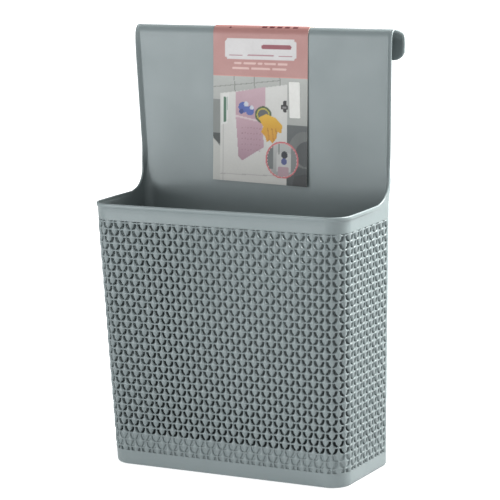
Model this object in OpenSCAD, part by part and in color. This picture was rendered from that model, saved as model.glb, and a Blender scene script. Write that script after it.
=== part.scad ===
// Over-door hanging waste bin: a one-piece plastic moulding with a woven-look tub, a tall back
// panel and a hook that drops over a cabinet door, with a printed card folded over its top.
// The moulding is divided into regions that meet face to face.

/* [Tub] */
// Width across the rim
rim_w = 260; // [200:1:320]
// Depth from the door side to the front, at the rim
tub_d = 101; // [80:1:140]
// Height of the rim above the underside
tub_h = 247; // [180:1:320]
// Inward lean of each side, in degrees
side_draft = 1.9; // [0.5:0.1:3]
// Inward lean of the front, in degrees
front_draft = 1.0; // [0.5:0.1:3]
// Outer radius of the two front corners
front_r = 18; // [10:1:30]
// Outer radius of the two rear corners
rear_r = 10; // [6:1:16]
// Wall thickness of the whole moulding
wall = 2.2; // [1.6:0.1:3]
// Thickness of the floor
floor_t = 2.5; // [2:0.1:4]

/* [Rim lip] */
// Height of the rounded lip along the rim
lip_h = 3; // [2:0.5:5]
// How far the lip stands proud of the wall
lip_proud = 0.8; // [0.4:0.1:1.5]

/* [Back panel] */
// Overall height, from the underside to the hook's crown
total_h = 402; // [340:1:480]
// Radius of the sweep from each side of the rim up to the panel
sweep_r = 21; // [14:1:24]
// Depth of the narrow flange along each side edge of the panel
flange_d = 6; // [4:0.5:7]
// Outer radius where that flange meets the panel
flange_r = 4; // [3:0.5:4]
// Half of the width of the panel's flat middle
panel_half_w = 108; // [90:1:109]

/* [Hook] */
// Gap between the panel and the flap, which takes the door
hook_gap = 22.8; // [16:0.2:28]
// Outer radius of the bend above the panel
front_bend_r = 15; // [8:0.5:16]
// Outer radius of the bend above the flap
rear_bend_r = 8; // [5:0.5:9]
// Height from the crown to the lower edge of the flap
flap_h = 32; // [26:1:60]
// Radius of the flap's lower corners
flap_corner_r = 16; // [4:1:18]

/* [Label card] */
// Width of the folded card
card_w = 99; // [60:1:140]
// Thickness of the card
card_t = 0.5; // [0.3:0.1:1]
// Clearance between the card and the moulding
card_gap = 0.3; // [0.2:0.1:0.6]
// Distance of the card's middle from the panel's middle, towards the left
card_shift = 2; // [0:1:20]
// Height from the underside to the lower edge of the card's front
card_low = 257; // [255:1:300]
// Height of the card's tail behind the flap
card_tail_h = 22; // [10:1:22]

/* [Blank sticker] */
// Width of the sticker
sticker_w = 11.4; // [8:0.2:20]
// Height of the sticker
sticker_h = 34; // [20:1:50]
// Thickness of the sticker
sticker_t = 0.2; // [0.1:0.1:0.4]
// Distance from the card's right edge to the sticker
sticker_inset = 8.5; // [4:0.5:40]
// Height from the underside to the sticker's lower edge
sticker_low = 318.5; // [270:0.5:330]

/* [Hidden] */
$fn = 96;
plastic = [0.58, 0.63, 0.64];
reach = 2 * total_h;                              // longer than anything it cuts
sliver = 0.01;                                    // thickness of a slice inside a hull
rise = tan(side_draft);
hook_d = hook_gap + wall;                         // from the door side to the flap's outer face
depth = tub_d + lip_proud + hook_d + card_gap + card_t;
door_y = depth / 2 - hook_d - card_gap - card_t;  // the plane where the moulding meets the door
wall_top = tub_h - lip_h;
lip_w = wall + lip_proud;
sweep_top = wall_top + lip_h + sweep_r;           // where the sweep has become the flange
bend_z = total_h - front_bend_r;                  // where the panel turns into the hook
flap_top = total_h - rear_bend_r;
base_half_w = rim_w / 2 - (tub_h - floor_t) * rise;
base_d = tub_d - (tub_h - floor_t) * tan(front_draft);
hook_half_w = rim_w / 2 + (bend_z - tub_h) * rise;
card_x = -card_shift - card_w / 2;
sweep_y = -flange_d - sweep_r;                    // where the sweep leaves the rim

// Everything is drawn with the door side at y = 0, then moved so that the origin is central.
module from_door() {
    translate([0, door_y, 0]) children();
}

// Keeps what lies between two heights.
module between(low, high) {
    intersection() {
        translate([-reach / 2, -reach / 2, low]) cube([reach, reach, high - low]);
        union() children();
    }
}

// Frames that follow the leaning walls: the side plane, and the corner axes, at rim height.
module at_side(side) {
    translate([side * rim_w / 2, 0, tub_h]) rotate([0, side * side_draft, 0]) children();
}
module at_rear_corner(side, r) {
    translate([side * (rim_w / 2 - r / cos(side_draft)), -r, tub_h])
        rotate([0, side * side_draft, 0]) children();
}
module at_front_corner(side) {
    x = side * (rim_w / 2 - front_r / cos(side_draft));
    y = -tub_d + front_r / cos(front_draft);
    lean = atan(tan(front_draft) * cos(side_draft));
    translate([x, y, tub_h]) rotate([lean, side * side_draft, 0]) children();
}

// A quarter of a tube about the frame's Z axis, in the quadrant that starts at the given angle.
module quarter_tube(r, start) {
    rotate([0, 0, start])
        rotate_extrude(angle = 90)
            translate([r - wall, -reach / 2]) square([wall, reach]);
}

// Half of space on one side of the frame's YZ plane.
module half_space(side) {
    translate([side > 0 ? 0 : -reach, -reach / 2, -reach / 2]) cube([reach, reach, reach]);
}

// A wall along the side plane, from one depth to another.
module side_slab(side, y_front, y_rear) {
    at_side(side)
        translate([side > 0 ? -wall : 0, y_front, -reach / 2])
            cube([wall, y_rear - y_front, reach]);
}

// A quarter of a ring in the first quadrant: the section of a rounded bend in a sheet.
module bend_section(r, thick) {
    intersection() {
        difference() {
            circle(r);
            circle(r - thick);
        }
        square(r);
    }
}

// The outline of the tub, with its door side on the X axis.
module outline(half_w, d, rf, rr) {
    translate([rf - half_w, -d]) square([2 * (half_w - rf), d]);
    translate([-half_w, rf - d]) square([2 * half_w, d - rf - rr]);
    translate([rr - half_w, rf - d]) square([2 * (half_w - rr), d - rf]);
    for (side = [-1, 1]) {
        translate([side * (half_w - rf), rf - d]) circle(rf);
        translate([side * (half_w - rr), -rr]) circle(rr);
    }
}

// Tub
module floor_panel() {
    color(plastic) from_door() linear_extrude(floor_t) outline(base_half_w, base_d, front_r, rear_r);
}
module front_wall() {
    color(plastic) from_door() difference() {
        between(floor_t, wall_top)
            translate([0, -tub_d, tub_h]) rotate([front_draft, 0, 0])
                translate([-reach / 2, 0, -reach / 2]) cube([reach, wall, reach]);
        for (side = [-1, 1]) at_front_corner(side) half_space(side);
    }
}
module side_wall(side) {
    color(plastic) from_door() difference() {
        between(floor_t, wall_top) side_slab(side, -tub_d, -rear_r);
        at_front_corner(side)
            translate([-reach / 2, -reach, -reach / 2]) cube([reach, reach, reach]);
    }
}
module left_wall() { side_wall(-1); }
module right_wall() { side_wall(1); }
module front_corner(side) {
    color(plastic) from_door() between(floor_t, wall_top)
        at_front_corner(side) quarter_tube(front_r, side > 0 ? -90 : 180);
}
module front_left_corner() { front_corner(-1); }
module front_right_corner() { front_corner(1); }
module rear_corner(side) {
    color(plastic) from_door() between(floor_t, wall_top)
        at_rear_corner(side, rear_r) quarter_tube(rear_r, side > 0 ? 0 : 90);
}
module rear_left_corner() { rear_corner(-1); }
module rear_right_corner() { rear_corner(1); }
module back_wall() {
    color(plastic) from_door() difference() {
        translate([-rim_w / 2, -wall, floor_t]) cube([rim_w, wall, wall_top - floor_t]);
        for (side = [-1, 1]) at_rear_corner(side, rear_r) half_space(side);
    }
}

// Rim lip: a round-topped strip that goes from one sweep round the front to the other.
module lip_section() {
    translate([0, lip_h - lip_w / 2]) circle(d = lip_w);
    translate([-lip_w / 2, 0]) square([lip_w, lip_h - lip_w / 2]);
}
module lip_run(length) {
    rotate([90, 0, 90]) linear_extrude(length) lip_section();
}
module rim_lip() {
    side_x = rim_w / 2 + lip_proud - lip_w / 2;
    front_y = lip_w / 2 - tub_d - lip_proud;
    r = front_r + lip_proud - lip_w / 2;
    color(plastic) from_door() translate([0, 0, wall_top]) {
        translate([r - side_x, front_y, 0]) lip_run(2 * (side_x - r));
        for (side = [-1, 1]) {
            translate([side * side_x, front_y + r, 0])
                rotate([0, 0, 90]) lip_run(sweep_y - front_y - r);
            translate([side * (side_x - r), front_y + r, 0])
                rotate([0, 0, side > 0 ? -90 : 180])
                    rotate_extrude(angle = 90) translate([r, 0]) lip_section();
        }
    }
}

// Back panel
// The section of a sweep at one height: the end of the panel, a rounded corner and the side.
module sweep_slice(z, r, inset) {
    x = rim_w / 2 + (z - tub_h) * rise - inset;
    translate([0, 0, z]) linear_extrude(sliver) {
        translate([panel_half_w, sweep_y]) square([x - r - panel_half_w, -sweep_y - inset]);
        translate([panel_half_w, sweep_y]) square([x - panel_half_w, -sweep_y - r - inset]);
        translate([x - r, -r - inset]) circle(r);
    }
}
module sweep_block(inset) {
    hull() {
        sweep_slice(wall_top, rear_r - inset, inset);
        sweep_slice(sweep_top - sliver, flange_r - inset, inset);
    }
}
module sweep(side) {
    color(plastic) from_door() mirror([side > 0 ? 0 : 1, 0, 0]) difference() {
        sweep_block(0);
        sweep_block(wall);
        translate([0, sweep_y, sweep_top]) rotate([0, 90, 0]) cylinder(r = sweep_r, h = reach);
    }
}
module left_sweep() { sweep(-1); }
module right_sweep() { sweep(1); }
module hanging_panel() {
    color(plastic) from_door()
        translate([-panel_half_w, -wall, wall_top]) cube([2 * panel_half_w, wall, bend_z - wall_top]);
}
// The section of a flange: the end of the panel, a rounded corner and a short return.
module flange_section() {
    bend_section(flange_r, wall);
    translate([flange_r - wall, flange_r - flange_d]) square([wall, flange_d - flange_r]);
    translate([-reach / 2, flange_r - wall]) square([reach / 2, wall]);
}
module edge_flange(side) {
    color(plastic) from_door() mirror([side > 0 ? 0 : 1, 0, 0]) intersection() {
        translate([panel_half_w, -reach / 2, sweep_top]) cube([reach, reach, bend_z - sweep_top]);
        at_rear_corner(1, flange_r)
            translate([0, 0, -reach / 2]) linear_extrude(reach) flange_section();
    }
}
module left_edge_flange() { edge_flange(-1); }
module right_edge_flange() { edge_flange(1); }

// Hook
// The section of a sheet folded over the hook: grow moves it outwards, thick is its thickness.
module fold_section(grow, thick) {
    front = front_bend_r - wall;
    rear = hook_d - rear_bend_r;
    translate([front, bend_z]) mirror([1, 0]) bend_section(front_bend_r + grow, thick);
    translate([front, total_h + grow - thick]) square([rear - front, thick]);
    translate([rear, flap_top]) bend_section(rear_bend_r + grow, thick);
}
module hook_crown() {
    color(plastic) from_door() translate([-hook_half_w, 0, 0])
        rotate([90, 0, 90]) linear_extrude(2 * hook_half_w) fold_section(0, wall);
}
module hook_flap() {
    low = total_h - flap_h;
    flat_half_w = hook_half_w - flap_corner_r;
    color(plastic) from_door() translate([0, hook_d, 0]) rotate([90, 0, 0]) linear_extrude(wall) {
        translate([-flat_half_w, low]) square([2 * flat_half_w, flap_top - low]);
        translate([-hook_half_w, low + flap_corner_r])
            square([2 * hook_half_w, flap_top - low - flap_corner_r]);
        for (side = [-1, 1]) translate([side * flat_half_w, low + flap_corner_r]) intersection() {
            circle(flap_corner_r);
            translate([-flap_corner_r, -flap_corner_r]) square([2 * flap_corner_r, flap_corner_r]);
        }
    }
}

// Label card
module card_front() {
    color("lightpink") from_door() translate([card_x, -wall - card_gap - card_t, card_low])
        cube([card_w, card_t, bend_z - card_low]);
}
module card_fold() {
    color("lightpink") from_door() translate([card_x, 0, 0])
        rotate([90, 0, 90]) linear_extrude(card_w) fold_section(card_gap + card_t, card_t);
}
module card_tail() {
    color("white") from_door() translate([card_x, hook_d + card_gap, flap_top - card_tail_h])
        cube([card_w, card_t, card_tail_h]);
}
module blank_sticker() {
    x = card_x + card_w - sticker_inset - sticker_w;
    y = -wall - card_gap - card_t - sticker_t;
    color("white") from_door() translate([x, y, sticker_low]) cube([sticker_w, sticker_t, sticker_h]);
}

floor_panel();
front_wall();
left_wall();
right_wall();
front_left_corner();
front_right_corner();
rear_left_corner();
rear_right_corner();
back_wall();
rim_lip();
left_sweep();
right_sweep();
hanging_panel();
left_edge_flange();
right_edge_flange();
hook_crown();
hook_flap();
card_front();
card_fold();
card_tail();
blank_sticker();
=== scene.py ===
"""Over-door hanging waste bin: a one-piece moulding with a woven-look lattice, and its folded card."""
import math

import bpy
import numpy as np
from mathutils import Matrix, Vector


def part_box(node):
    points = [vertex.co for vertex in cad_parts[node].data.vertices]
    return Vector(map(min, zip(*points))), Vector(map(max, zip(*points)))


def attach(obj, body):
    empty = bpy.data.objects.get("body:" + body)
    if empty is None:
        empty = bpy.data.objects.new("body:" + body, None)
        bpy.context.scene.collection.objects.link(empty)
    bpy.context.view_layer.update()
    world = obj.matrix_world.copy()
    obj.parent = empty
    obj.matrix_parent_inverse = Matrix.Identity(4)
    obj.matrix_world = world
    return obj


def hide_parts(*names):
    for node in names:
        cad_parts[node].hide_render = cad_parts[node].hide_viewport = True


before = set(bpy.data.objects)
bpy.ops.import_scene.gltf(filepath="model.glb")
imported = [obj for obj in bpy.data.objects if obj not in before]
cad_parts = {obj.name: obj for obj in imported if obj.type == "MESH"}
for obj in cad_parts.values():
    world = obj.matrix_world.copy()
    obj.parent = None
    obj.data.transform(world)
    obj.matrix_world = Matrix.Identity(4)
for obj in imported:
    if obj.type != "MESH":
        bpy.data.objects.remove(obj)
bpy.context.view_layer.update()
MM = 0.001

# The moulding's own sizes, in millimetres, with y = 0 at the door side and z = 0 at the underside.
door_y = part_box("hanging_panel")[1].y
half_w = 130.0
tub_d = 101.0
tub_h = 247.0
side_slope = math.tan(math.radians(1.9))
front_slope = math.tan(math.radians(1.0))
front_r = 18.0
rear_r = 10.0
wall = 2.2

# Lengths of the stretches of the tub's outline at the rim, from the middle of the front round to the back.
FRONT = half_w - front_r
CORNER = front_r * math.pi / 2
SIDE = tub_d - front_r - rear_r
REAR = rear_r * math.pi / 2
BACK = half_w - rear_r
SWEEP_START = FRONT + CORNER + SIDE - 18.0
ARC_START = FRONT + CORNER + SIDE
BACK_START = ARC_START + REAR
BACK_MIDDLE = BACK_START + BACK

# The lattice: staggered rows of drops between the base band and the rim band.
PITCH = 6.25
ROW = 6.645
FIRST_ROW = 4.6
LOW = 14.0
HIGH = 232.0
HALF_COLUMNS = 34
ROWS = range(1, 35)
FIRST_THROUGH = 4        # the rows below this one are only engraved
EDGE = PITCH * HALF_COLUMNS
LEFT_SPLIT = -13         # half columns where the side pieces meet the front one
RIGHT_SPLIT = 21
# The lattice's thickness. It is chosen for how dark the slots look, and isn't the real wall's.
FRONT_DEPTH = 1.25
LEFT_DEPTH = 2.9
RIGHT_DEPTH = 2.2


def smooth(a, b, x):
    t = np.clip((np.asarray(x, float) - a) / (b - a), 0, 1)
    return t * t * (3 - 2 * t)


def to_world(points):
    """Door-side millimetres to the frame's metres."""
    out = np.asarray(points, float) * MM
    out[..., 1] += door_y
    return out


def outline(s, z, out):
    """Points on the tub's outer face: s runs round it, z is the height and out is the offset outwards."""
    s, z, out = np.broadcast_arrays(np.asarray(s, float), np.asarray(z, float), np.asarray(out, float))
    w = half_w - (tub_h - z) * side_slope
    d = tub_d - (tub_h - z) * front_slope
    v = np.abs(s)
    turn = np.where(s < 0, -1.0, 1.0)
    on_front = v <= FRONT
    on_corner = ~on_front & (v <= FRONT + CORNER)
    on_side = (v > FRONT + CORNER) & (v <= ARC_START)
    on_rear = (v > ARC_START) & (v <= BACK_START)
    x = np.empty_like(w)
    y = np.empty_like(w)
    x[on_front] = (v / FRONT * (w - front_r))[on_front]
    y[on_front] = -(d + out)[on_front]
    a = (v - FRONT) / front_r
    x[on_corner] = (w - front_r + (front_r + out) * np.sin(a))[on_corner]
    y[on_corner] = (front_r - d - (front_r + out) * np.cos(a))[on_corner]
    x[on_side] = (w + out)[on_side]
    y[on_side] = (front_r - d + (v - FRONT - CORNER) / SIDE * (d - front_r - rear_r))[on_side]
    b = (v - ARC_START) / rear_r
    x[on_rear] = (w - rear_r + (rear_r + out) * np.cos(b))[on_rear]
    y[on_rear] = ((rear_r + out) * np.sin(b) - rear_r)[on_rear]
    on_back = v > BACK_START
    x[on_back] = ((w - rear_r) * (1 - (v - BACK_START) / BACK))[on_back]
    y[on_back] = out[on_back]
    return np.stack([x * turn, y, z], -1)


def make_object(name, points, faces, material, sharp=40):
    mesh = bpy.data.meshes.new(name)
    mesh.from_pydata([tuple(p) for p in points], [], [tuple(int(i) for i in f) for f in faces])
    mesh.validate()
    mesh.shade_smooth()
    mesh.set_sharp_from_angle(angle=math.radians(sharp))
    mesh.materials.append(material)
    obj = bpy.data.objects.new(name, mesh)
    bpy.context.scene.collection.objects.link(obj)
    return obj


def face_normals(points, faces):
    quad = np.array([f if len(f) == 4 else list(f) + [f[-1]] for f in faces])
    p = points[quad]
    return np.cross(p[:, 2] - p[:, 0], p[:, 3] - p[:, 1])


def thicken(points, faces, depth, round_at):
    """Gives a sheet its thickness. points are the outer face, depth is the thickness at each point, and
    round_at says how far the rim's edge bulges there, as a share of half the thickness."""
    points = np.asarray(points, float)
    n = len(points)
    fn = face_normals(points, faces)
    normal = np.zeros_like(points)
    for f, v in zip(faces, fn):
        for i in set(f):
            normal[i] += v
    normal /= np.linalg.norm(normal, axis=1)[:, None]
    inner = points - normal * depth[:, None]
    solid = [tuple(f) for f in faces] + [tuple(n + i for i in reversed(f)) for f in faces]
    edges = {}
    for k, f in enumerate(faces):
        for a, b in zip(f, list(f[1:]) + [f[0]]):
            if (b, a) in edges:
                del edges[(b, a)]
            else:
                edges[(a, b)] = k
    away = np.zeros_like(points)
    for (a, b), k in edges.items():
        along = points[b] - points[a]
        e = np.cross(along, fn[k] / np.linalg.norm(fn[k]))
        away[a] += e / max(np.linalg.norm(e), 1e-9)
        away[b] += e / max(np.linalg.norm(e), 1e-9)
    rim = sorted({i for e in edges for i in e})
    place = {v: k for k, v in enumerate(rim)}
    steps = [math.radians(a) for a in (60, 30, 0, -30, -60)]
    extra = []
    for i in rim:
        e = away[i] / max(np.linalg.norm(away[i]), 1e-9)
        middle = (points[i] + inner[i]) / 2
        h = depth[i] / 2
        for a in steps:
            extra.append(middle + normal[i] * h * math.sin(a) + e * h * math.cos(a) * round_at[i])
    m = len(steps)
    base = 2 * n
    for a, b in edges:
        ra = [a] + [base + place[a] * m + q for q in range(m)] + [n + a]
        rb = [b] + [base + place[b] * m + q for q in range(m)] + [n + b]
        for q in range(m + 1):
            solid.append((rb[q], ra[q], ra[q + 1], rb[q + 1]))
    return np.vstack([points, inner, np.array(extra)]), solid


# ---------------------------------------------------------------- the lattice
KNOT_Z = [0, 0.45, 0.85, 1.8, 2.9, 4.2, 5.7, 6.15, ROW]
KNOT_LEFT = [0.80, 0.62, 0.54, 1.15, 2.30, 2.90, 3.15, 3.60, 4.25]
KNOT_RIGHT = [2.00, 2.20, 2.75, 4.15, 4.85, 5.25, 5.50, 5.50, 5.45]
KNOT_EDGE = [-0.20, -0.34, -0.66, -0.70, -0.70, -0.70, -0.66, -0.36, -0.20]
SHARE = np.array([0, 0.5, 0.85, 1.0])
FIRST_SINK = 0.9         # how deep the engraved cuts go in the lowest row
SINK = 0.3               # and in the rows above it
SKIN = 0.12              # what a cut leaves of the wall


def crest(v):
    return -0.08 + 0.62 * np.sin(np.pi * np.clip(v, 0, 1) ** 0.7)


def tile(lines, cut_from, cut_to, through, sink, depth):
    """Half a cell, with its own drop's middle at x = 0. Returns x, z, offset and a layer for each corner,
    and the faces. Layer 0 is the outer face, 1 the inner face and 2 the floor of an engraved cut."""
    lines = np.array(lines, float)
    left = np.interp(lines, KNOT_Z, KNOT_LEFT)
    right = np.interp(lines, KNOT_Z, KNOT_RIGHT)
    edge = np.interp(lines, KNOT_Z, KNOT_EDGE)
    own = np.outer(left, SHARE)
    other = PITCH - np.outer(PITCH - right, SHARE[::-1])
    x = np.hstack([own, other])
    c_own = crest(lines / (2 * ROW))[:, None]
    c_other = crest((lines + ROW) / (2 * ROW))[:, None]
    e = edge[:, None]
    h = np.hstack([e + (c_own - e) * (1 - SHARE[None] ** 2) ** 0.8,
                   e + (c_other - e) * (1 - SHARE[::-1][None] ** 2) ** 0.8])
    rows, cols = x.shape
    lo = int(np.argmin(np.abs(lines - cut_from)))
    hi = int(np.argmin(np.abs(lines - cut_to)))
    corners, faces, index = [], [], {}

    def corner(i, j, layer):
        key = (i, j, layer)
        if key not in index:
            index[key] = len(corners)
            off = h[i, j] if layer == 0 else (-depth if layer == 1 else h[i, j] - sink)
            corners.append((x[i, j], lines[i], off, layer))
        return index[key]

    inner_cols = [0, 3, 4, 7]
    for i in range(rows - 1):
        for j in range(cols - 1):
            if j == 3 and lo <= i < hi:
                continue
            faces.append([corner(i, j, 0), corner(i, j + 1, 0), corner(i + 1, j + 1, 0), corner(i + 1, j, 0)])
        for a, b in zip(inner_cols[:-1], inner_cols[1:]):
            if through and a == 3 and lo <= i < hi:
                continue
            faces.append([corner(i, a, 1), corner(i + 1, a, 1), corner(i + 1, b, 1), corner(i, b, 1)])
    low_layer = 1 if through else 2
    ring = [(i, 3) for i in range(lo, hi)] + [(hi, 3), (hi, 4)]
    ring += [(i, 4) for i in range(hi - 1, lo - 1, -1)]
    for (ia, ja), (ib, jb) in zip(ring, ring[1:] + ring[:1]):
        faces.append([corner(ib, jb, 0), corner(ia, ja, 0),
                      corner(ia, ja, low_layer), corner(ib, jb, low_layer)])
    if not through:
        for i in range(lo, hi):
            faces.append([corner(i, 3, 2), corner(i, 4, 2), corner(i + 1, 4, 2), corner(i + 1, 3, 2)])
    return np.array(corners), np.array(faces)


def lattice(name, first, last, depth, material):
    """The lattice between two half columns, as one closed mesh of the given depth."""
    kinds = {}
    for j in ROWS:
        z0 = FIRST_ROW + ROW * j
        if z0 < LOW:
            lines = [LOW - z0, 3.1, 4.2, 5.7, 6.15, ROW]
            # The cut's floor stays inside the wall, which is thin at the front.
            kinds[j] = tile(lines, 3.1, 5.7, False, min(FIRST_SINK, depth + min(KNOT_EDGE) - SKIN), depth)
        elif z0 + ROW > HIGH:
            lines = [0, 0.45, 0.8, 1.25, HIGH - z0]
            kinds[j] = tile(lines, 0.8, 1.25, True, 0, depth)
        else:
            kinds[j] = tile(KNOT_Z, 0.85, 5.7, j >= FIRST_THROUGH, SINK, depth)
    points, faces, count = [], [], 0
    for j in ROWS:
        corners, quads = kinds[j]
        for m in range(first, last):
            p = corners.copy()
            if (m + j) % 2:
                f = quads
            else:
                p[:, 0] = PITCH - p[:, 0]
                f = quads[:, ::-1]
            p[:, 0] += PITCH * m
            p[:, 1] += FIRST_ROW + ROW * j
            points.append(p)
            faces.append(f + count)
            count += len(p)
    points = np.vstack(points)
    faces = np.vstack(faces)
    key = np.round(points * [1000, 1000, 0, 1] + 0.13).astype(np.int64)
    _, keep, back = np.unique(key, axis=0, return_index=True, return_inverse=True)
    points = points[keep]
    faces = back.reshape(-1)[faces]
    # Close the four sides between the outer and the inner face.
    edges = {}
    for f in faces:
        for a, b in zip(f, np.roll(f, -1)):
            if (b, a) in edges:
                del edges[(b, a)]
            else:
                edges[(a, b)] = True
    outer = {a: b for a, b in edges if points[a, 3] == 0}
    inner = {a: b for a, b in edges if points[a, 3] == 1}
    caps = stitch(points, trace(outer), trace(inner))
    placed = outline(points[:, 0], points[:, 1], points[:, 2])
    return make_object(name, to_world(placed), [list(f) for f in faces] + caps, material, sharp=48)


def trace(table):
    start = min(table)
    loop = [start]
    at = table[start]
    while at != start:
        loop.append(at)
        at = table[at]
    return loop


def stitch(points, a, b):
    """Joins the outer loop to the inner loop, which runs the other way round, with triangles."""
    b = b[::-1]
    flat = points[:, :2]
    near = min(range(len(b)), key=lambda k: np.sum((flat[b[k]] - flat[a[0]]) ** 2))
    b = b[near:] + b[:near]

    def travel(loop):
        p = flat[loop + [loop[0]]]
        return np.concatenate([[0], np.cumsum(np.linalg.norm(np.diff(p, axis=0), axis=1))])

    ta, tb = travel(a), travel(b)
    faces, i, j = [], 0, 0
    while i < len(a) or j < len(b):
        if j == len(b) or (i < len(a) and ta[i + 1] <= tb[j + 1] + 1e-6):
            faces.append([a[(i + 1) % len(a)], a[i % len(a)], b[j % len(b)]])
            i += 1
        else:
            faces.append([a[i % len(a)], b[j % len(b)], b[(j + 1) % len(b)]])
            j += 1
    return faces


# ---------------------------------------------------------------- the plain parts of the moulding
HOOK = [(0, 366), (0, 376), (0, 386), (0, 393.5), (0.25, 396.4), (1.2, 398.6), (3.2, 399.6), (6.2, 399.2),
        (11, 397.9), (16, 396.4), (19.8, 394.8), (22.0, 391.8), (22.3, 388.0)]
HOOK_LOW = 372.0
FLAP_R = 11.0
FLAP_LEAN = 0.15


def spline(control, per):
    """A smooth line through the control points."""
    c = np.array(control, float)
    c = np.vstack([2 * c[0] - c[1], c, 2 * c[-1] - c[-2]])
    out = []
    for k in range(1, len(c) - 2):
        for t in np.arange(per) / per:
            a, b, d, e = c[k - 1:k + 3]
            out.append(0.5 * (2 * b + (d - a) * t + (2 * a - 5 * b + 4 * d - e) * t * t
                              + (3 * b - a - 3 * d + e) * t ** 3))
    out.append(c[-2])
    return np.array(out)


hook_line = spline(HOOK, 3)
hook_step = np.gradient(hook_line, axis=0)
hook_step /= np.linalg.norm(hook_step, axis=1)[:, None]
hook_out = np.stack([-hook_step[:, 1], hook_step[:, 0]], 1)


def width_at(z):
    return half_w + (min(z, 387.0) - tub_h) * side_slope


FLAT = np.array([0, .12, .24, .36, .48, .6, .72, .82, .88, .915, .94, .96, .975, .988, 1.0])
SIDE_LINES = np.array([SWEEP_START, SWEEP_START + 4, SWEEP_START + 8, SWEEP_START + 12.5, EDGE, ARC_START])
ARC_LINES = np.linspace(ARC_START, BACK_START, 9)


def upper_section(w, reach, r, angle):
    """Half of a level cut through the panel, from the free edge to the middle: x and the distance forward."""
    sin, cos = math.sin(angle), math.cos(angle)
    run = (reach - r * (1 - cos)) / sin
    flat_w = w - r * sin - run * cos
    k = (ARC_START - SIDE_LINES[:-1]) / (ARC_START - SWEEP_START)
    xs = [flat_w + r * sin + run * cos * t for t in k]
    ds = [r * (1 - cos) + run * sin * t for t in k]
    for a in np.linspace(angle, 0, 9):
        xs.append(flat_w + r * math.sin(a))
        ds.append(r * (1 - math.cos(a)))
    for t in FLAT[::-1][1:]:
        xs.append(flat_w * t)
        ds.append(0.0)
    return np.array(xs), np.array(ds)


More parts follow.
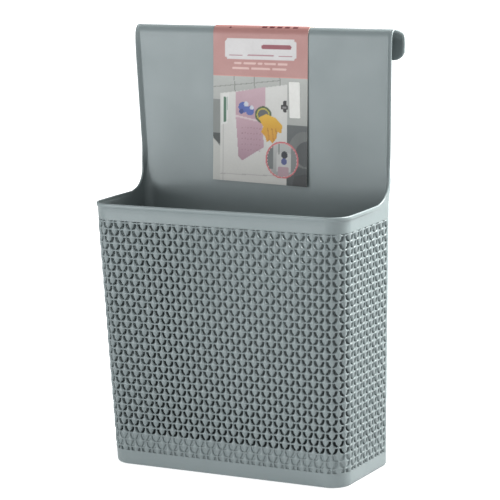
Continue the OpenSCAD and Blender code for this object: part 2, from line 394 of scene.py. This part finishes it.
def shell(material):
    points, faces, grid = [], [], {}
    half = np.concatenate([np.linspace(0, FRONT, 9), np.linspace(FRONT, FRONT + CORNER, 13)[1:],
                           FRONT + CORNER + np.array([12.0, 25.0, 40.0]), SIDE_LINES, ARC_LINES[1:],
                           BACK_MIDDLE - BACK * FLAT[::-1][1:]])
    around = np.concatenate([-half[:0:-1], half[:-1]])
    count = len(around)

    def add(key, p):
        grid[key] = len(points)
        points.append(p)

    # The floor and the walls: each ring goes the whole way round.
    fillet = [math.radians(a) for a in (0, 22.5, 45, 67.5, 90)]
    rings = [(3 * (1 - math.cos(a)), -3 * (1 - math.sin(a))) for a in fillet]
    levels = [(8.0, 0.0), (LOW, 0.0), (60.0, 0.0), (120.0, 0.0), (180.0, 0.0), (HIGH, 0.0), (238.0, 0.0),
              (242.8, 0.0), (243.3, 0.12), (243.7, 0.62), (244.1, 0.8), (246.1, 0.8)]
    rows = []
    floor_ring = outline(around, 0.0, -9.0)
    centre = np.array([0.0, -48.0, 0.0])
    for k in (0.25, 0.5, 0.75, 1.0):
        rows.append(centre + (floor_ring - centre) * k)
    rows.append(outline(around, 0.0, -5.5))
    for z, o in rings:
        rows.append(outline(around, z, o))
    lip_share = 1 - smooth(SWEEP_START - 26, SWEEP_START - 2, np.abs(around))
    for z, o in levels:
        rows.append(outline(around, z, o * lip_share))
    for r, ring in enumerate(rows):
        for c in range(count):
            add((r, c), ring[c])
    for r in range(len(rows) - 1):
        low_z = rows[r][0][2]
        high_z = rows[r + 1][0][2]
        for c in range(count):
            d = (c + 1) % count
            s = [around[c], around[d]]
            window = low_z >= LOW - 0.01 and high_z <= HIGH + 0.01 and high_z > LOW + 0.01
            if window and max(abs(s[0]), abs(s[1])) <= EDGE + 0.01:
                continue
            faces.append([grid[r, c], grid[r, d], grid[r + 1, d], grid[r + 1, c]])
    hub = len(points)
    points.append(centre)
    for c in range(count):
        faces.append([grid[0, (c + 1) % count], grid[0, c], hub])
    # The panel and the hook: rows from the right free edge round the back to the left one.
    ring = [grid[len(rows) - 1, c] for c in range(count) if around[c] >= SWEEP_START - 0.01]
    ring += [grid[len(rows) - 1, c] for c in range(count) if around[c] <= -SWEEP_START + 0.01]
    wide = len(ring)
    stations = []
    for a in range(10, 91, 8):
        a = math.radians(a)
        stations.append((0.0, 268 - 21 * math.cos(a), -1.0, 0.0, 27 - 21 * math.sin(a)))
    for z in (271, 274, 278, 283, 289, 300, 320, 340, 356):
        stations.append((0.0, z, -1.0, 0.0, 6.0 - 2.4 * smooth(266, 290, z)))
    panel_rows = len(stations)
    for p, o in zip(hook_line, hook_out):
        stations.append((p[0], p[1], o[0], o[1], 3.6))
    for k, (y, z, out_y, out_z, reach) in enumerate(stations):
        over = max(0, k - panel_rows) / (len(hook_line) - 1)
        fade = smooth(0.05, 0.5, over)
        reach = reach * (1 - fade) + (0.9 - 0.3 * smooth(0.6, 1, over)) * fade
        upright = min(z, 300) if k < panel_rows else 300
        angle = math.radians(90 - 42 * smooth(258, 288, upright) - 22 * fade)
        r = max(4.0, 10 - 6 * (upright - 247) / 21) - 1.6 * fade
        w = width_at(z) if k < panel_rows + 8 else width_at(400)
        w = w - 0.65 * smooth(258, 288, upright) - 0.35 * fade
        xs, ds = upper_section(w, reach, r, angle)
        xs = np.concatenate([xs, -xs[::-1][1:]])
        ds = np.concatenate([ds, ds[::-1][1:]])
        for c in range(wide):
            add(("u", k, c), np.array([xs[c], y + out_y * ds[c], z + out_z * ds[c]]))
    total = len(stations)
    for k in range(total):
        row = [grid[("u", k, c)] for c in range(wide)]
        below = ring if k == 0 else [grid[("u", k - 1, c)] for c in range(wide)]
        for c in range(wide - 1):
            faces.append([below[c], below[c + 1], row[c + 1], row[c]])
    # The flap, down to an edge with rounded lower corners.
    end_row = [grid[("u", total - 1, c)] for c in range(wide)]
    start_z = stations[-1][1]
    top = [points[i] for i in end_row]
    w = top[0][0] + 1.0
    previous = end_row
    for k in range(1, 9):
        row = []
        for c in range(wide):
            p = top[c]
            dx = max(0.0, abs(p[0]) - (w - FLAP_R))
            low = HOOK_LOW + 1.0 + FLAP_R - math.sqrt(max(0.0, FLAP_R ** 2 - min(dx, FLAP_R) ** 2))
            drop = (start_z - low) * k / 8
            add(("f", k, c), np.array([p[0], p[1] - FLAP_LEAN * drop, start_z - drop]))
            row.append(grid[("f", k, c)])
        for c in range(wide - 1):
            faces.append([previous[c], previous[c + 1], row[c + 1], row[c]])
        previous = row
    points = np.array(points)
    # The wall is even, a little thinner along the panel's free edges.
    depth = np.full(len(points), wall)
    rounding = np.full(len(points), 0.95)
    for key, i in grid.items():
        if isinstance(key[0], int) and key[0] < len(rows) - 1:
            rounding[i] = 0.1
    for k in range(total):
        for c in range(wide):
            e = min(c, wide - 1 - c)
            if e < 5 and k > 10:
                depth[grid[("u", k, c)]] = 1.7 + 0.1 * e
    # The points inside the lattice's window belong to no face.
    used = sorted({i for f in faces for i in f})
    place = {i: k for k, i in enumerate(used)}
    faces = [[place[i] for i in f] for f in faces]
    solid_points, solid_faces = thicken(points[used], faces, depth[used], rounding[used])
    return make_object("bin_moulding", to_world(solid_points), solid_faces, material, sharp=42)


# ---------------------------------------------------------------- the card and its sticker
CARD_LEFT = -51.5
CARD_W = 99.0
CARD_T = 0.5
CARD_LOW = 257.0
TAIL_FROM = 160.0        # length along the card where its blank back side begins
SHIFT = 0.032            # how far the card hangs askew: sideways per millimetre of length
TILT = 0.026             # and its lower edge's slope
PRINT_STRENGTH = 0.5     # matched to the photo under the scene's display gamma


def card_gap(z):
    """How far the card's back stands off the panel: it hangs from the fold and its lower end bows out."""
    at_fold, bow, fold_z = 0.3, 1.7, 384
    return at_fold + bow * np.clip((fold_z - z) / (fold_z - CARD_LOW), 0, 1) ** 1.4


def card_line():
    """The card's path from its lower edge up, over the hook and down to the end of its tail: y, z and the
    direction outwards, for the face that lies against the moulding."""
    rows = []
    for z in np.linspace(CARD_LOW, 366, 183):
        rows.append((-wall - card_gap(z), z, -1.0, 0.0))
    for p, o in zip(hook_line[1:], hook_out[1:]):
        off = wall + (card_gap(p[1]) if p[0] < 4 else 0.3)
        rows.append((p[0] + o[0] * off, p[1] + o[1] * off, o[0], o[1]))
    end_y = rows[-1][0]
    for z in np.linspace(387.5, 372.5, 12)[1:]:
        rows.append((end_y, z, 1.0, 0.0))
    rows = np.array(rows)
    run = np.concatenate([[0], np.cumsum(np.hypot(*np.diff(rows[:, :2], axis=0).T))])
    even = np.linspace(0, run[-1], 290)
    return np.stack([np.interp(even, run, rows[:, k]) for k in range(4)], -1)


def srgb(r, g, b):
    c = np.array([r, g, b], float) / 255
    return np.where(c <= 0.04045, c / 12.92, ((c + 0.055) / 1.055) ** 2.4)


def inside(x, z, corners):
    """True where a point lies inside the polygon."""
    result = np.zeros(x.shape, bool)
    n = len(corners)
    for k in range(n):
        (xa, za), (xb, zb) = corners[k], corners[(k + 1) % n]
        if za == zb:
            continue
        crosses = (za > z) != (zb > z)
        result ^= crosses & (x < (xb - xa) * (z - za) / (zb - za) + xa)
    return result


def rounded(x, z, x0, x1, z0, z1, r):
    dx = np.abs(x - (x0 + x1) / 2) - (x1 - x0) / 2 + r
    dz = np.abs(z - (z0 + z1) / 2) - (z1 - z0) / 2 + r
    return np.hypot(np.maximum(dx, 0), np.maximum(dz, 0)) + np.minimum(np.maximum(dx, dz), 0) < r


def disc(x, z, cx, cz, r):
    return np.hypot(x - cx, z - cz) < r


def paint_card(x, h):
    """The print: a header with a blank plate, over a picture of a cabinet door with a bin on it.
    x runs from the card's left edge and h is the length along the card from its lower edge."""
    colour = np.empty(x.shape + (3,))
    colour[:] = srgb(206, 206, 201)

    def put(mask, *rgb):
        colour[mask] = srgb(*rgb)

    def shade(mask, top, low, h0, h1):
        t = np.clip((h - h0) / (h1 - h0), 0, 1)[..., None]
        blend = srgb(*low) * (1 - t) + srgb(*top) * t
        colour[mask] = blend[mask]

    # The kitchen behind the open door.
    shade(h < 100, (206, 208, 204), (176, 180, 177), 0, 100)
    for c in (22, 43, 70):
        put((np.abs(x - c - 0.08 * (100 - h)) < 0.35) & (h > 80) & (h < 99), 150, 152, 148)
    put((np.abs(h - (88 + 0.12 * x)) < 0.4) & (x < 70), 172, 174, 170)
    put((x < 7.5) & (h < 76), 158, 163, 160)
    put((x < 7.5) & (h < 44) & (h > 34), 84, 92, 90)
    put(inside(x, h, [(0, 0), (7.5, 0), (7.5, 32), (0, 40)]), 214, 215, 210)
    shade((x > 78) & (h < 56), (118, 124, 124), (88, 94, 95), 10, 56)
    put(disc(x, h, 97, 34, 17) & (x > 79), 134, 138, 137)
    put(disc(x, h, 99, 30, 12) & (x > 79), 96, 101, 102)
    put(inside(x, h, [(84, 0), (99, 0), (99, 12), (86, 9)]), 70, 74, 76)
    # The open door, with the bin hanging on it.
    door = inside(x, h, [(7.5, 0), (78, 0), (78, 93), (7.5, 82)])
    shade(door, (236, 236, 233), (222, 221, 217), 0, 90)
    put(door & (np.abs(x - 10.5) < 0.4) & (h < 78), 196, 198, 194)
    put(door & (np.abs(h - 6 - 0.03 * x) < 0.4), 200, 200, 196)
    bin_back = inside(x, h, [(24, 84), (55, 90), (55, 62), (50, 56), (24, 60)])
    shade(bin_back, (222, 196, 204), (206, 174, 186), 56, 90)
    bin_front = inside(x, h, [(24, 61), (52, 57), (54, 34), (31, 20), (27, 24)])
    shade(bin_front, (214, 184, 194), (190, 158, 172), 20, 60)
    put(inside(x, h, [(24, 62.5), (53, 58), (53, 56.4), (24, 60.6)]), 232, 214, 218)
    for k in range(7):
        for q in range(5):
            dot = disc(x, h, 31.0 + 3.1 * k, 30 + 5.2 * q + 0.5 * (k % 2), 0.55)
            put(dot & (h < 55), 182, 148, 162)
    put(disc(x, h, 32, 70, 5) | disc(x, h, 39, 67, 4.4), 98, 122, 196)
    put(disc(x, h, 35, 73, 2.4) | disc(x, h, 41, 70, 2.0), 226, 230, 240)
    put(disc(x, h, 30, 66, 2.4), 64, 86, 160)
    ring = np.hypot((x - 53) / 1.1, h - 64)
    put((ring < 8) & (ring > 6.2), 92, 112, 70)
    put((ring <= 6.2) & (ring > 5), 214, 202, 92)
    put(ring <= 5, 106, 110, 108)
    glove = inside(x, h, [(48, 61), (56, 65), (66, 62), (73, 55), (72, 48), (68, 49), (67, 43), (63, 38),
                          (60, 41), (57, 39), (55, 44), (51, 48), (53, 53)])
    shade(glove, (244, 202, 62), (226, 166, 28), 38, 64)
    for c in (58, 62.5, 66.5):
        put(glove & (np.abs(x - c + 0.16 * (h - 50)) < 0.45) & (h < 52), 200, 142, 20)
    put(rounded(x, h, 71.5, 78.5, 70, 74, 0.8) | rounded(x, h, 74, 77.5, 67.5, 78, 0.8), 62, 62, 62)
    put(rounded(x, h, 73, 77, 71, 73, 0.5), 158, 158, 158)
    # The label on the door's left edge, with plain bars on it.
    put(inside(x, h, [(8.5, 52), (15.5, 54), (17, 83), (9.5, 82)]), 240, 241, 238)
    put(rounded(x, h, 11, 13.6, 55, 79, 0.8), 96, 140, 116)
    put(rounded(x, h, 14.3, 15.1, 66, 79, 0.3), 170, 190, 178)
    # The round inset: a small bin on the edge of a door.
    centre = np.hypot(x - 73, h - 23.2)
    shade(centre < 16.7, (206, 208, 206), (176, 178, 176), 7, 40)
    put((centre < 16.7) & (x < 64) & (h > 14), 128, 134, 134)
    put((centre < 16.7) & (x > 82) & (h > 12), 150, 154, 153)
    put(rounded(x, h, 67, 82, 12, 30, 1.2), 214, 214, 212)
    put(rounded(x, h, 69, 80, 8, 17, 1.0), 196, 170, 178)
    put(disc(x, h, 75.5, 28, 3.4), 44, 50, 62)
    put(disc(x, h, 75, 22, 3.0), 92, 104, 160)
    put((centre < 16.7) & (np.abs(x - 70) < 0.5) & (h > 28), 90, 94, 94)
    put((centre < 17.2) & (centre > 15.9), 226, 130, 136)
    dashes = np.sin(np.arctan2(h - 23.2, x - 73) * 30) > -0.2
    put((centre < 15.9) & (centre > 15.3) & dashes, 236, 196, 198)
    # The header, its blank plate and two rows of plain bars.
    put(h > 99, 213, 168, 163)
    put((h > 99) & (h < 99.8), 236, 176, 168)
    plate = rounded(x, h, 12.5, 87, 114.6, 134, 3.0)
    for cx, cz in ((12.5, 114.6), (12.5, 134), (87, 114.6), (87, 134)):
        plate &= ~disc(x, h, cx, cz, 2.2)
    put(plate, 240, 238, 238)
    put(rounded(x, h, 51, 82, 124.8, 128.6, 1.6), 176, 104, 116)
    put(rounded(x, h, 17, 31, 118.2, 119.0, 0.3) | rounded(x, h, 69, 83, 118.2, 119.0, 0.3), 190, 140, 148)
    put(rounded(x, h, 36, 64, 118.0, 119.2, 0.5), 206, 170, 176)
    bar_rows = ((110.4, ((22, 30), (32, 45), (47, 52), (54, 66), (68, 78))),
                (105.6, ((20, 38), (40, 60), (62, 77))))
    for low, bars in bar_rows:
        for a, b in bars:
            put(rounded(x, h, a, b, low, low + 1.7, 0.6), 246, 214, 208)
    for k in range(5):
        put(rounded(x, h, 50 + 8 * k, 55 + 8 * k, 144.0, 146.4, 0.8), 128, 62, 68)
    put(rounded(x, h, 16, 18, 143.6, 144.6, 0.4), 128, 62, 68)
    return colour


def card(material):
    line = card_line()
    xs = np.linspace(0, CARD_W, 140)
    run = np.concatenate([[0], np.cumsum(np.hypot(*np.diff(line[:, :2], axis=0).T))])
    rows, cols = len(line), len(xs)
    grid_x, grid_h = np.meshgrid(xs, run)
    print_face = paint_card(grid_x, grid_h)
    behind = (grid_h > TAIL_FROM)[..., None]
    print_face = np.where(behind, srgb(238, 237, 233), print_face) * PRINT_STRENGTH
    points = np.empty((2, rows, cols, 3))
    for layer, off in ((0, CARD_T), (1, 0.0)):
        points[layer, :, :, 0] = CARD_LEFT + xs[None]
        points[layer, :, :, 1] = (line[:, 0] + line[:, 2] * off)[:, None]
        points[layer, :, :, 2] = (line[:, 1] + line[:, 3] * off)[:, None]
    # The card hangs a little askew.
    points[:, :, :, 0] += SHIFT * (np.minimum(grid_h, 150) - 75)[None]
    points[:, :, :, 2] -= (TILT * (grid_x - CARD_W / 2) * (1 - smooth(50, 125, grid_h)))[None]
    # It curls a touch along its free lower edge.
    curl = 0.3 * (1 - smooth(0, 26, grid_h)) * ((grid_x / CARD_W - 0.5) * 2) ** 2
    points[:, :, :, 1] -= curl[None]
    n = rows * cols
    index = np.arange(n).reshape(rows, cols)
    quad = np.stack([index[:-1, :-1], index[:-1, 1:], index[1:, 1:], index[1:, :-1]], -1).reshape(-1, 4)
    faces = [list(f) for f in quad] + [list(f[::-1]) for f in quad + n]
    ring = list(index[0]) + list(index[1:, -1]) + list(index[-1, -2::-1]) + list(index[-2:0:-1, 0])
    for a, b in zip(ring, ring[1:] + ring[:1]):
        faces.append([b, a, a + n, b + n])
    obj = make_object("folded_card", to_world(points.reshape(-1, 3)), faces, material, sharp=50)
    colours = np.ones((2 * n, 4))
    colours[:n, :3] = print_face.reshape(-1, 3)
    colours[n:, :3] = srgb(224, 221, 213)
    layer = obj.data.color_attributes.new("print", "FLOAT_COLOR", "POINT")
    layer.data.foreach_set("color", colours.astype(np.float32).reshape(-1))
    return obj


def sticker(material):
    """The blank sticker, which follows the card's bow."""
    x0, x1, z0, z1, r = CARD_LEFT + 80.1, CARD_LEFT + 91.5, 319.0, 352.2, 0.9
    zs = np.concatenate([np.linspace(z0, z0 + r, 4)[:-1], np.linspace(z0 + r, z1 - r, 9),
                         np.linspace(z1 - r, z1, 4)[1:]])
    points, faces = [], []
    cols = 7
    for off in (0.0, 0.18):
        for z in zs:
            lean = max(0.0, z0 + r - z, z - z1 + r)
            inset = r - math.sqrt(max(0.0, r * r - lean * lean))
            y = -wall - float(card_gap(z)) - CARD_T - off
            soft = 0.12 if off else 0.0
            for x in np.linspace(x0 + inset + soft, x1 - inset - soft, cols):
                points.append((x, y, z))
    rows = len(zs)
    n = rows * cols
    index = np.arange(n).reshape(rows, cols)
    for i in range(rows - 1):
        for j in range(cols - 1):
            f = [index[i, j], index[i, j + 1], index[i + 1, j + 1], index[i + 1, j]]
            faces.append([int(v) + n for v in f])
            faces.append([int(v) for v in f[::-1]])
    ring = list(index[0]) + list(index[1:, -1]) + list(index[-1, -2::-1]) + list(index[-2:0:-1, 0])
    for a, b in zip(ring, ring[1:] + ring[:1]):
        faces.append([a, b, b + n, a + n])
    return make_object("white_sticker", to_world(points), faces, material, sharp=50)


# ---------------------------------------------------------------- materials
def node(tree, kind, **values):
    n = tree.nodes.new(kind)
    for name, value in values.items():
        if name in n.inputs:
            n.inputs[name].default_value = value
        else:
            setattr(n, name, value)
    return n


def new_material(name):
    material = bpy.data.materials.new(name)
    material.use_nodes = True
    tree = material.node_tree
    return material, tree, tree.nodes["Principled BSDF"]


def noise(tree, scale, detail, where=None):
    n = node(tree, "ShaderNodeTexNoise", Scale=scale, Detail=detail)
    where = where or node(tree, "ShaderNodeTexCoord").outputs["Object"]
    tree.links.new(where, n.inputs["Vector"])
    return n


def spread(tree, source, low, high):
    m = node(tree, "ShaderNodeMapRange")
    m.inputs["To Min"].default_value = low
    m.inputs["To Max"].default_value = high
    tree.links.new(source, m.inputs["Value"])
    return m.outputs["Result"]


def plastic_material():
    """Satin injection-moulded polypropylene: faint flow marks, a fine grain and uneven gloss."""
    material, tree, shader = new_material("satin_polypropylene")
    shader.inputs["IOR"].default_value = 1.49
    shader.inputs["Subsurface Weight"].default_value = 0.06
    shader.inputs["Subsurface Radius"].default_value = (0.004, 0.005, 0.005)
    shader.inputs["Subsurface Scale"].default_value = 0.5
    place = node(tree, "ShaderNodeTexCoord").outputs["Object"]
    stretched = node(tree, "ShaderNodeMapping")
    stretched.inputs["Scale"].default_value = (1.0, 1.0, 0.35)
    tree.links.new(place, stretched.inputs["Vector"])
    flow = noise(tree, 9, 3, stretched.outputs["Vector"])
    ramp = node(tree, "ShaderNodeValToRGB")
    ramp.color_ramp.elements[0].position = 0.3
    ramp.color_ramp.elements[1].position = 0.7
    ramp.color_ramp.elements[0].color = (0.200, 0.228, 0.231, 1)
    ramp.color_ramp.elements[1].color = (0.217, 0.246, 0.250, 1)
    tree.links.new(flow.outputs["Fac"], ramp.inputs["Fac"])
    tree.links.new(ramp.outputs["Color"], shader.inputs["Base Color"])
    patches = noise(tree, 28, 4, place)
    tree.links.new(spread(tree, patches.outputs["Fac"], 0.36, 0.5), shader.inputs["Roughness"])
    grain = noise(tree, 1500, 2, place)
    bump = node(tree, "ShaderNodeBump", Strength=0.06, Distance=0.0002)
    tree.links.new(grain.outputs["Fac"], bump.inputs["Height"])
    wave = noise(tree, 42, 2, place)
    wide_bump = node(tree, "ShaderNodeBump", Strength=0.1, Distance=0.0006)
    tree.links.new(wave.outputs["Fac"], wide_bump.inputs["Height"])
    tree.links.new(wide_bump.outputs["Normal"], bump.inputs["Normal"])
    tree.links.new(bump.outputs["Normal"], shader.inputs["Normal"])
    return material


def card_material():
    """Coated card: the print, dot-fine ink variation and a faint paper grain."""
    material, tree, shader = new_material("printed_card")
    ink = node(tree, "ShaderNodeVertexColor", layer_name="print")
    dots = noise(tree, 420, 3)
    mix = node(tree, "ShaderNodeMix", data_type="RGBA", blend_type="MULTIPLY")
    mix.inputs["Factor"].default_value = 1.0
    tone = node(tree, "ShaderNodeValToRGB")
    tone.color_ramp.elements[0].color = (0.93, 0.93, 0.93, 1)
    tone.color_ramp.elements[1].color = (1.0, 1.0, 1.0, 1)
    tree.links.new(dots.outputs["Fac"], tone.inputs["Fac"])
    tree.links.new(ink.outputs["Color"], mix.inputs["A"])
    tree.links.new(tone.outputs["Color"], mix.inputs["B"])
    tree.links.new(mix.outputs["Result"], shader.inputs["Base Color"])
    gloss = noise(tree, 60, 3)
    tree.links.new(spread(tree, gloss.outputs["Fac"], 0.38, 0.5), shader.inputs["Roughness"])
    grain = noise(tree, 900, 3)
    bump = node(tree, "ShaderNodeBump", Strength=0.08, Distance=0.0001)
    tree.links.new(grain.outputs["Fac"], bump.inputs["Height"])
    tree.links.new(bump.outputs["Normal"], shader.inputs["Normal"])
    return material


def paper_material():
    """Plain matt label paper with a little tooth."""
    material, tree, shader = new_material("label_paper")
    fibre = noise(tree, 300, 5)
    tone = node(tree, "ShaderNodeValToRGB")
    tone.color_ramp.elements[0].color = (0.50, 0.50, 0.485, 1)
    tone.color_ramp.elements[1].color = (0.57, 0.57, 0.555, 1)
    tree.links.new(fibre.outputs["Fac"], tone.inputs["Fac"])
    tree.links.new(tone.outputs["Color"], shader.inputs["Base Color"])
    tree.links.new(spread(tree, fibre.outputs["Fac"], 0.6, 0.75), shader.inputs["Roughness"])
    bump = node(tree, "ShaderNodeBump", Strength=0.15, Distance=0.0001)
    tree.links.new(fibre.outputs["Fac"], bump.inputs["Height"])
    tree.links.new(bump.outputs["Normal"], shader.inputs["Normal"])
    return material


# ---------------------------------------------------------------- the pieces
plastic = plastic_material()
moulding = shell(plastic)
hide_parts("floor_panel", "rear_left_corner", "rear_right_corner", "back_wall", "rim_lip",
            "left_sweep", "right_sweep", "hanging_panel", "left_edge_flange", "right_edge_flange",
            "hook_crown", "hook_flap")
front = lattice("woven_front", LEFT_SPLIT, RIGHT_SPLIT, FRONT_DEPTH, plastic)
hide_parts("front_wall", "front_right_corner")
left = lattice("woven_left_side", -HALF_COLUMNS, LEFT_SPLIT, LEFT_DEPTH, plastic)
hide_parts("left_wall", "front_left_corner")
right = lattice("woven_right_side", RIGHT_SPLIT, HALF_COLUMNS, RIGHT_DEPTH, plastic)
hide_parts("right_wall")
for piece in (moulding, front, left, right):
    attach(piece, "bin")
label = card(card_material())
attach(label, "label")
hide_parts("card_front", "card_fold", "card_tail")
blank = sticker(paper_material())
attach(blank, "label")
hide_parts("blank_sticker")


# ---------------------------------------------------------------- floor, light and camera
def stage_floor():
    material, tree, shader = new_material("pale_floor")
    shader.inputs["Base Color"].default_value = (0.3, 0.305, 0.31, 1)
    shader.inputs["Roughness"].default_value = 0.8
    shader.inputs["Emission Color"].default_value = (1, 1, 1, 1)
    # Evenly lit from below, a little less round the object, where the softboxes add to it.
    reach = node(tree, "ShaderNodeVectorMath", operation="LENGTH")
    tree.links.new(node(tree, "ShaderNodeTexCoord").outputs["Object"], reach.inputs[0])
    glow = node(tree, "ShaderNodeMapRange")
    for name, value in (("From Min", 0.3), ("From Max", 1.8), ("To Min", 0.84), ("To Max", 0.98)):
        glow.inputs[name].default_value = value
    tree.links.new(reach.outputs["Value"], glow.inputs["Value"])
    tree.links.new(glow.outputs["Result"], shader.inputs["Emission Strength"])
    half, below, n = 14, -0.0004, 9
    edge = np.linspace(-half, half, n)
    points = [(x, y, below) for y in edge for x in edge]
    faces = [(r * n + c, r * n + c + 1, (r + 1) * n + c + 1, (r + 1) * n + c)
             for r in range(n - 1) for c in range(n - 1)]
    make_object("floor", points, faces, material)


def area_light(name, place, aim, size, power, colour):
    data = bpy.data.lights.new(name, "AREA")
    data.shape = "RECTANGLE"
    data.size, data.size_y = size
    data.energy = power
    data.color = colour
    obj = bpy.data.objects.new(name, data)
    obj.location = place
    obj.rotation_euler = (Vector(aim) - Vector(place)).to_track_quat("-Z", "Y").to_euler()
    obj.visible_camera = False
    bpy.context.scene.collection.objects.link(obj)


stage_floor()
world = bpy.data.worlds.new("studio")
world.use_nodes = True
tree = world.node_tree
# The pale floor lights the set from below, the walls are dimmer and the ceiling is bright.
height = node(tree, "ShaderNodeSeparateXYZ")
tree.links.new(node(tree, "ShaderNodeTexCoord").outputs["Generated"], height.inputs["Vector"])
wall_light = node(tree, "ShaderNodeMapRange")
for name, value in (("From Min", 0.2), ("From Max", 0.45), ("To Min", 0.35), ("To Max", 0.95)):
    wall_light.inputs[name].default_value = value
tree.links.new(height.outputs["Z"], wall_light.inputs["Value"])
glow = tree.nodes["Background"]
glow.inputs["Color"].default_value = (0.98, 0.99, 1.0, 1)
tree.links.new(wall_light.outputs["Result"], glow.inputs["Strength"])
bpy.context.scene.world = world
area_light("right_softbox", (0.62, 0.42, 0.9), (0, 0, 0.25), (0.5, 0.5), 30, (1.0, 0.99, 0.97))
area_light("left_softbox", (-0.95, -1.5, 0.27), (0, 0, 0.26), (1.0, 0.42), 16.5, (0.98, 0.99, 1.0))
area_light("fill", (0.9, -1.6, 0.5), (0, 0, 0.3), (0.8, 0.5), 4.5, (1.0, 1.0, 1.0))

# The camera's angles, lens and aim come from fitting the tub's and the panel's outline to the photo.
turn, tilt, roll = math.radians(29.18), math.radians(10.585), math.radians(-1.764)
distance = 2.193
back = Vector((math.sin(turn) * math.cos(tilt), -math.cos(turn) * math.cos(tilt), math.sin(tilt)))
side = Vector((math.cos(turn), math.sin(turn), 0))
up = back.cross(side)
across = side * math.cos(roll) + up * math.sin(roll)
upward = up * math.cos(roll) - side * math.sin(roll)
lens = bpy.data.cameras.new("camera")
lens.sensor_width = 36
lens.lens = 174.07
lens.clip_end = 50
camera = bpy.data.objects.new("camera", lens)
target = Vector((0.01708, -0.06503 + door_y, 0.2059))
axes = Matrix((across, upward, back)).transposed().to_4x4()
camera.matrix_world = Matrix.Translation(target + back * distance) @ axes
bpy.context.scene.collection.objects.link(camera)
bpy.context.scene.camera = camera
# The gamma gives the photo's contrast; the base colours above are tuned under it.
bpy.context.scene.view_settings.view_transform = "Standard"
bpy.context.scene.view_settings.gamma = 0.72

bpy.context.view_layer.update()
